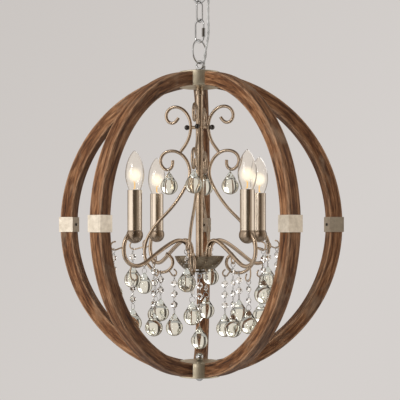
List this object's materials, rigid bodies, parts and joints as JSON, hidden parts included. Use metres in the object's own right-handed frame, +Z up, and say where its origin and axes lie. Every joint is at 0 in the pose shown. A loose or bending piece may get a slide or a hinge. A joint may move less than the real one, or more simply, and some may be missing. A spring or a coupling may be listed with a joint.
{
  "type": "orb chandelier",
  "caption": "Hanging chandelier with a candle fixture and glass strands inside an open orb of bentwood ribs, on a short chain from a round canopy.",
  "frame": {"origin": "middle of the ceiling bracket's top face, in the plane of the ceiling", "axes": "+Z up into the ceiling, -Y towards the viewer, +X to the viewer's right"},
  "size_m": [0.5149, 0.4953, 0.7329],
  "materials": {
    "wood": "warm brown stained timber, weathered, with dark streaks",
    "champagne": "champagne silver with a soft sheen",
    "candle": "vertically brushed champagne steel",
    "cup_metal": "dull bronze-grey",
    "dark_ball": "dark burnished steel",
    "band": "pale champagne leaf, slightly mottled",
    "hub_bronze": "olive bronze",
    "screw": "dark steel screw",
    "chain_steel": "grey bright steel",
    "socket": "pale moulded socket",
    "bulb": "clear glass with a glowing filament",
    "crystal": "clear polished glass on bright wire",
    "clear_cord": "clear sheath over silver conductors",
    "zinc": "zinc plated steel"
  },
  "bodies": {
    "ceiling": {"ceiling_bracket": "zinc", "canopy_nipple": "zinc", "canopy": "chain_steel", "canopy_loop": "chain_steel"},
    "chain_link": {"chain_link": "chain_steel", "cord_4": "clear_cord"},
    "quick_link": {"quick_link": "chain_steel", "cord_3": "clear_cord"},
    "quick_link_sleeve": {"quick_link_sleeve": "chain_steel"},
    "ring": {"hanging_ring": "chain_steel", "cord_2": "clear_cord"},
    "fixture": {"fixture_loop": "chain_steel", "top_hub": "hub_bronze", "bottom_hub": "hub_bronze", "ribs_upper": "wood", "ribs_lower": "wood", "rib_bands": "band", "band_screws": "screw", "stem": "champagne", "threaded_pipe": "zinc", "scroll_rods": "champagne", "rod_studs": "champagne", "ball_nuts": "dark_ball", "bowl": "champagne", "bowl_finial": "champagne", "lamp_arms": "champagne", "lamp_cups": "cup_metal", "candle_sleeves": "candle", "lamp_sockets": "socket", "bulbs": "bulb", "arm_hooks": "champagne", "rod_hooks": "champagne", "bottom_nut": "chain_steel", "bottom_finial": "chain_steel", "cord_1": "clear_cord"},
    "drop_scroll_front": {"drop_scroll_front": "crystal"},
    "strand_rod_side_front": {"strand_rod_side_front": "crystal"},
    "strand_rod_curl_front": {"strand_rod_curl_front": "crystal"},
    "drop_scroll_right": {"drop_scroll_right": "crystal"},
    "strand_rod_side_right": {"strand_rod_side_right": "crystal"},
    "strand_rod_curl_right": {"strand_rod_curl_right": "crystal"},
    "strand_rod_foot_right": {"strand_rod_foot_right": "crystal"},
    "drop_scroll_back": {"drop_scroll_back": "crystal"},
    "strand_rod_side_back": {"strand_rod_side_back": "crystal"},
    "strand_rod_curl_back": {"strand_rod_curl_back": "crystal"},
    "drop_scroll_left": {"drop_scroll_left": "crystal"},
    "strand_rod_side_left": {"strand_rod_side_left": "crystal"},
    "strand_rod_curl_left": {"strand_rod_curl_left": "crystal"},
    "strand_rod_foot_left": {"strand_rod_foot_left": "crystal"},
    "strand_arm_side_right_front": {"strand_arm_side_right_front": "crystal"},
    "strand_arm_foot_right_front": {"strand_arm_foot_right_front": "crystal"},
    "strand_arm_slope_right_front": {"strand_arm_slope_right_front": "crystal"},
    "strand_arm_side_right_back": {"strand_arm_side_right_back": "crystal"},
    "strand_arm_foot_right_back": {"strand_arm_foot_right_back": "crystal"},
    "strand_arm_side_left_back": {"strand_arm_side_left_back": "crystal"},
    "strand_arm_foot_left_back": {"strand_arm_foot_left_back": "crystal"},
    "strand_arm_side_left_front": {"strand_arm_side_left_front": "crystal"},
    "strand_arm_foot_left_front": {"strand_arm_foot_left_front": "crystal"},
    "strand_arm_slope_left_front": {"strand_arm_slope_left_front": "crystal"},
    "strand_centre": {"strand_centre": "crystal"}
  },
  "joints": [
    {"name": "chain_link_swing", "type": "hinge", "parent": "ceiling", "child": "chain_link", "pos_m": [0, 0, -0.073], "axis": [0.8192, -0.5736, 0], "range_deg": [-12, 12], "deforming": ["cord_4"]},
    {"name": "quick_link_swing", "type": "hinge", "parent": "chain_link", "child": "quick_link", "pos_m": [0, 0, -0.1025], "axis": [0.5736, 0.8192, 0], "range_deg": [-12, 12], "deforming": ["cord_3"]},
    {"name": "quick_link_sleeve_travel", "type": "slide", "parent": "quick_link", "child": "quick_link_sleeve", "axis": [0, 0, 1], "range_m": [0, 0.006]},
    {"name": "ring_swing", "type": "hinge", "parent": "quick_link", "child": "ring", "pos_m": [0, 0, -0.13815], "axis": [0.8192, -0.5736, 0], "range_deg": [-12, 12], "deforming": ["cord_2"]},
    {"name": "fixture_swing", "type": "hinge", "parent": "ring", "child": "fixture", "pos_m": [0, 0, -0.17855], "axis": [0.5736, 0.8192, 0], "range_deg": [-12, 12], "deforming": ["cord_1"]},
    {"name": "drop_scroll_front_swing", "type": "hinge", "parent": "fixture", "child": "drop_scroll_front", "pos_m": [-0.00938, -0.05318, -0.36342], "axis": [-0.1736, -0.9848, 0], "range_deg": [-10, 10]},
    {"name": "strand_rod_side_front_swing", "type": "hinge", "parent": "fixture", "child": "strand_rod_side_front", "pos_m": [-0.02077, -0.11778, -0.50285], "axis": [-0.1736, -0.9848, 0], "range_deg": [-10, 10]},
    {"name": "strand_rod_curl_front_swing", "type": "hinge", "parent": "fixture", "child": "strand_rod_curl_front", "pos_m": [-0.01207, -0.06844, -0.54395], "axis": [-0.1736, -0.9848, 0], "range_deg": [-10, 10]},
    {"name": "drop_scroll_right_swing", "type": "hinge", "parent": "fixture", "child": "drop_scroll_right", "pos_m": [0.05318, -0.00938, -0.36342], "axis": [0.9848, -0.1736, 0], "range_deg": [-10, 10]},
    {"name": "strand_rod_side_right_swing", "type": "hinge", "parent": "fixture", "child": "strand_rod_side_right", "pos_m": [0.11778, -0.02077, -0.50285], "axis": [0.9848, -0.1736, 0], "range_deg": [-10, 10]},
    {"name": "strand_rod_curl_right_swing", "type": "hinge", "parent": "fixture", "child": "strand_rod_curl_right", "pos_m": [0.06844, -0.01207, -0.54395], "axis": [0.9848, -0.1736, 0], "range_deg": [-10, 10]},
    {"name": "strand_rod_foot_right_swing", "type": "hinge", "parent": "fixture", "child": "strand_rod_foot_right", "pos_m": [0.04412, -0.00778, -0.54943], "axis": [0.9848, -0.1736, 0], "range_deg": [-10, 10]},
    {"name": "drop_scroll_back_swing", "type": "hinge", "parent": "fixture", "child": "drop_scroll_back", "pos_m": [0.00938, 0.05318, -0.36342], "axis": [0.1736, 0.9848, 0], "range_deg": [-10, 10]},
    {"name": "strand_rod_side_back_swing", "type": "hinge", "parent": "fixture", "child": "strand_rod_side_back", "pos_m": [0.02077, 0.11778, -0.50285], "axis": [0.1736, 0.9848, 0], "range_deg": [-10, 10]},
    {"name": "strand_rod_curl_back_swing", "type": "hinge", "parent": "fixture", "child": "strand_rod_curl_back", "pos_m": [0.01207, 0.06844, -0.54395], "axis": [0.1736, 0.9848, 0], "range_deg": [-10, 10]},
    {"name": "drop_scroll_left_swing", "type": "hinge", "parent": "fixture", "child": "drop_scroll_left", "pos_m": [-0.05318, 0.00938, -0.36342], "axis": [-0.9848, 0.1736, 0], "range_deg": [-10, 10]},
    {"name": "strand_rod_side_left_swing", "type": "hinge", "parent": "fixture", "child": "strand_rod_side_left", "pos_m": [-0.11778, 0.02077, -0.50285], "axis": [-0.9848, 0.1736, 0], "range_deg": [-10, 10]},
    {"name": "strand_rod_curl_left_swing", "type": "hinge", "parent": "fixture", "child": "strand_rod_curl_left", "pos_m": [-0.06844, 0.01207, -0.54395], "axis": [-0.9848, 0.1736, 0], "range_deg": [-10, 10]},
    {"name": "strand_rod_foot_left_swing", "type": "hinge", "parent": "fixture", "child": "strand_rod_foot_left", "pos_m": [-0.04412, 0.00778, -0.54943], "axis": [-0.9848, 0.1736, 0], "range_deg": [-10, 10]},
    {"name": "strand_arm_side_right_front_swing", "type": "hinge", "parent": "fixture", "child": "strand_arm_side_right_front", "pos_m": [0.10322, -0.14206, -0.50185], "axis": [0.5878, -0.809, 0], "range_deg": [-10, 10]},
    {"name": "strand_arm_foot_right_front_swing", "type": "hinge", "parent": "fixture", "child": "strand_arm_foot_right_front", "pos_m": [0.08088, -0.11132, -0.55307], "axis": [0.5878, -0.809, 0], "range_deg": [-10, 10]},
    {"name": "strand_arm_slope_right_front_swing", "type": "hinge", "parent": "fixture", "child": "strand_arm_slope_right_front", "pos_m": [0.05619, -0.07734, -0.52539], "axis": [0.5878, -0.809, 0], "range_deg": [-10, 10]},
    {"name": "strand_arm_side_right_back_swing", "type": "hinge", "parent": "fixture", "child": "strand_arm_side_right_back", "pos_m": [0.14206, 0.10322, -0.50185], "axis": [0.809, 0.5878, 0], "range_deg": [-10, 10]},
    {"name": "strand_arm_foot_right_back_swing", "type": "hinge", "parent": "fixture", "child": "strand_arm_foot_right_back", "pos_m": [0.11132, 0.08088, -0.55307], "axis": [0.809, 0.5878, 0], "range_deg": [-10, 10]},
    {"name": "strand_arm_side_left_back_swing", "type": "hinge", "parent": "fixture", "child": "strand_arm_side_left_back", "pos_m": [-0.10322, 0.14206, -0.50185], "axis": [-0.5878, 0.809, 0], "range_deg": [-10, 10]},
    {"name": "strand_arm_foot_left_back_swing", "type": "hinge", "parent": "fixture", "child": "strand_arm_foot_left_back", "pos_m": [-0.08088, 0.11132, -0.55307], "axis": [-0.5878, 0.809, 0], "range_deg": [-10, 10]},
    {"name": "strand_arm_side_left_front_swing", "type": "hinge", "parent": "fixture", "child": "strand_arm_side_left_front", "pos_m": [-0.14206, -0.10322, -0.50185], "axis": [-0.809, -0.5878, 0], "range_deg": [-10, 10]},
    {"name": "strand_arm_foot_left_front_swing", "type": "hinge", "parent": "fixture", "child": "strand_arm_foot_left_front", "pos_m": [-0.11132, -0.08088, -0.55307], "axis": [-0.809, -0.5878, 0], "range_deg": [-10, 10]},
    {"name": "strand_arm_slope_left_front_swing", "type": "hinge", "parent": "fixture", "child": "strand_arm_slope_left_front", "pos_m": [-0.07734, -0.05619, -0.52539], "axis": [-0.809, -0.5878, 0], "range_deg": [-10, 10]},
    {"name": "strand_centre_swing", "type": "hinge", "parent": "fixture", "child": "strand_centre", "pos_m": [0, 0, -0.55315], "axis": [1, 0, 0], "range_deg": [-10, 10]}
  ]
}
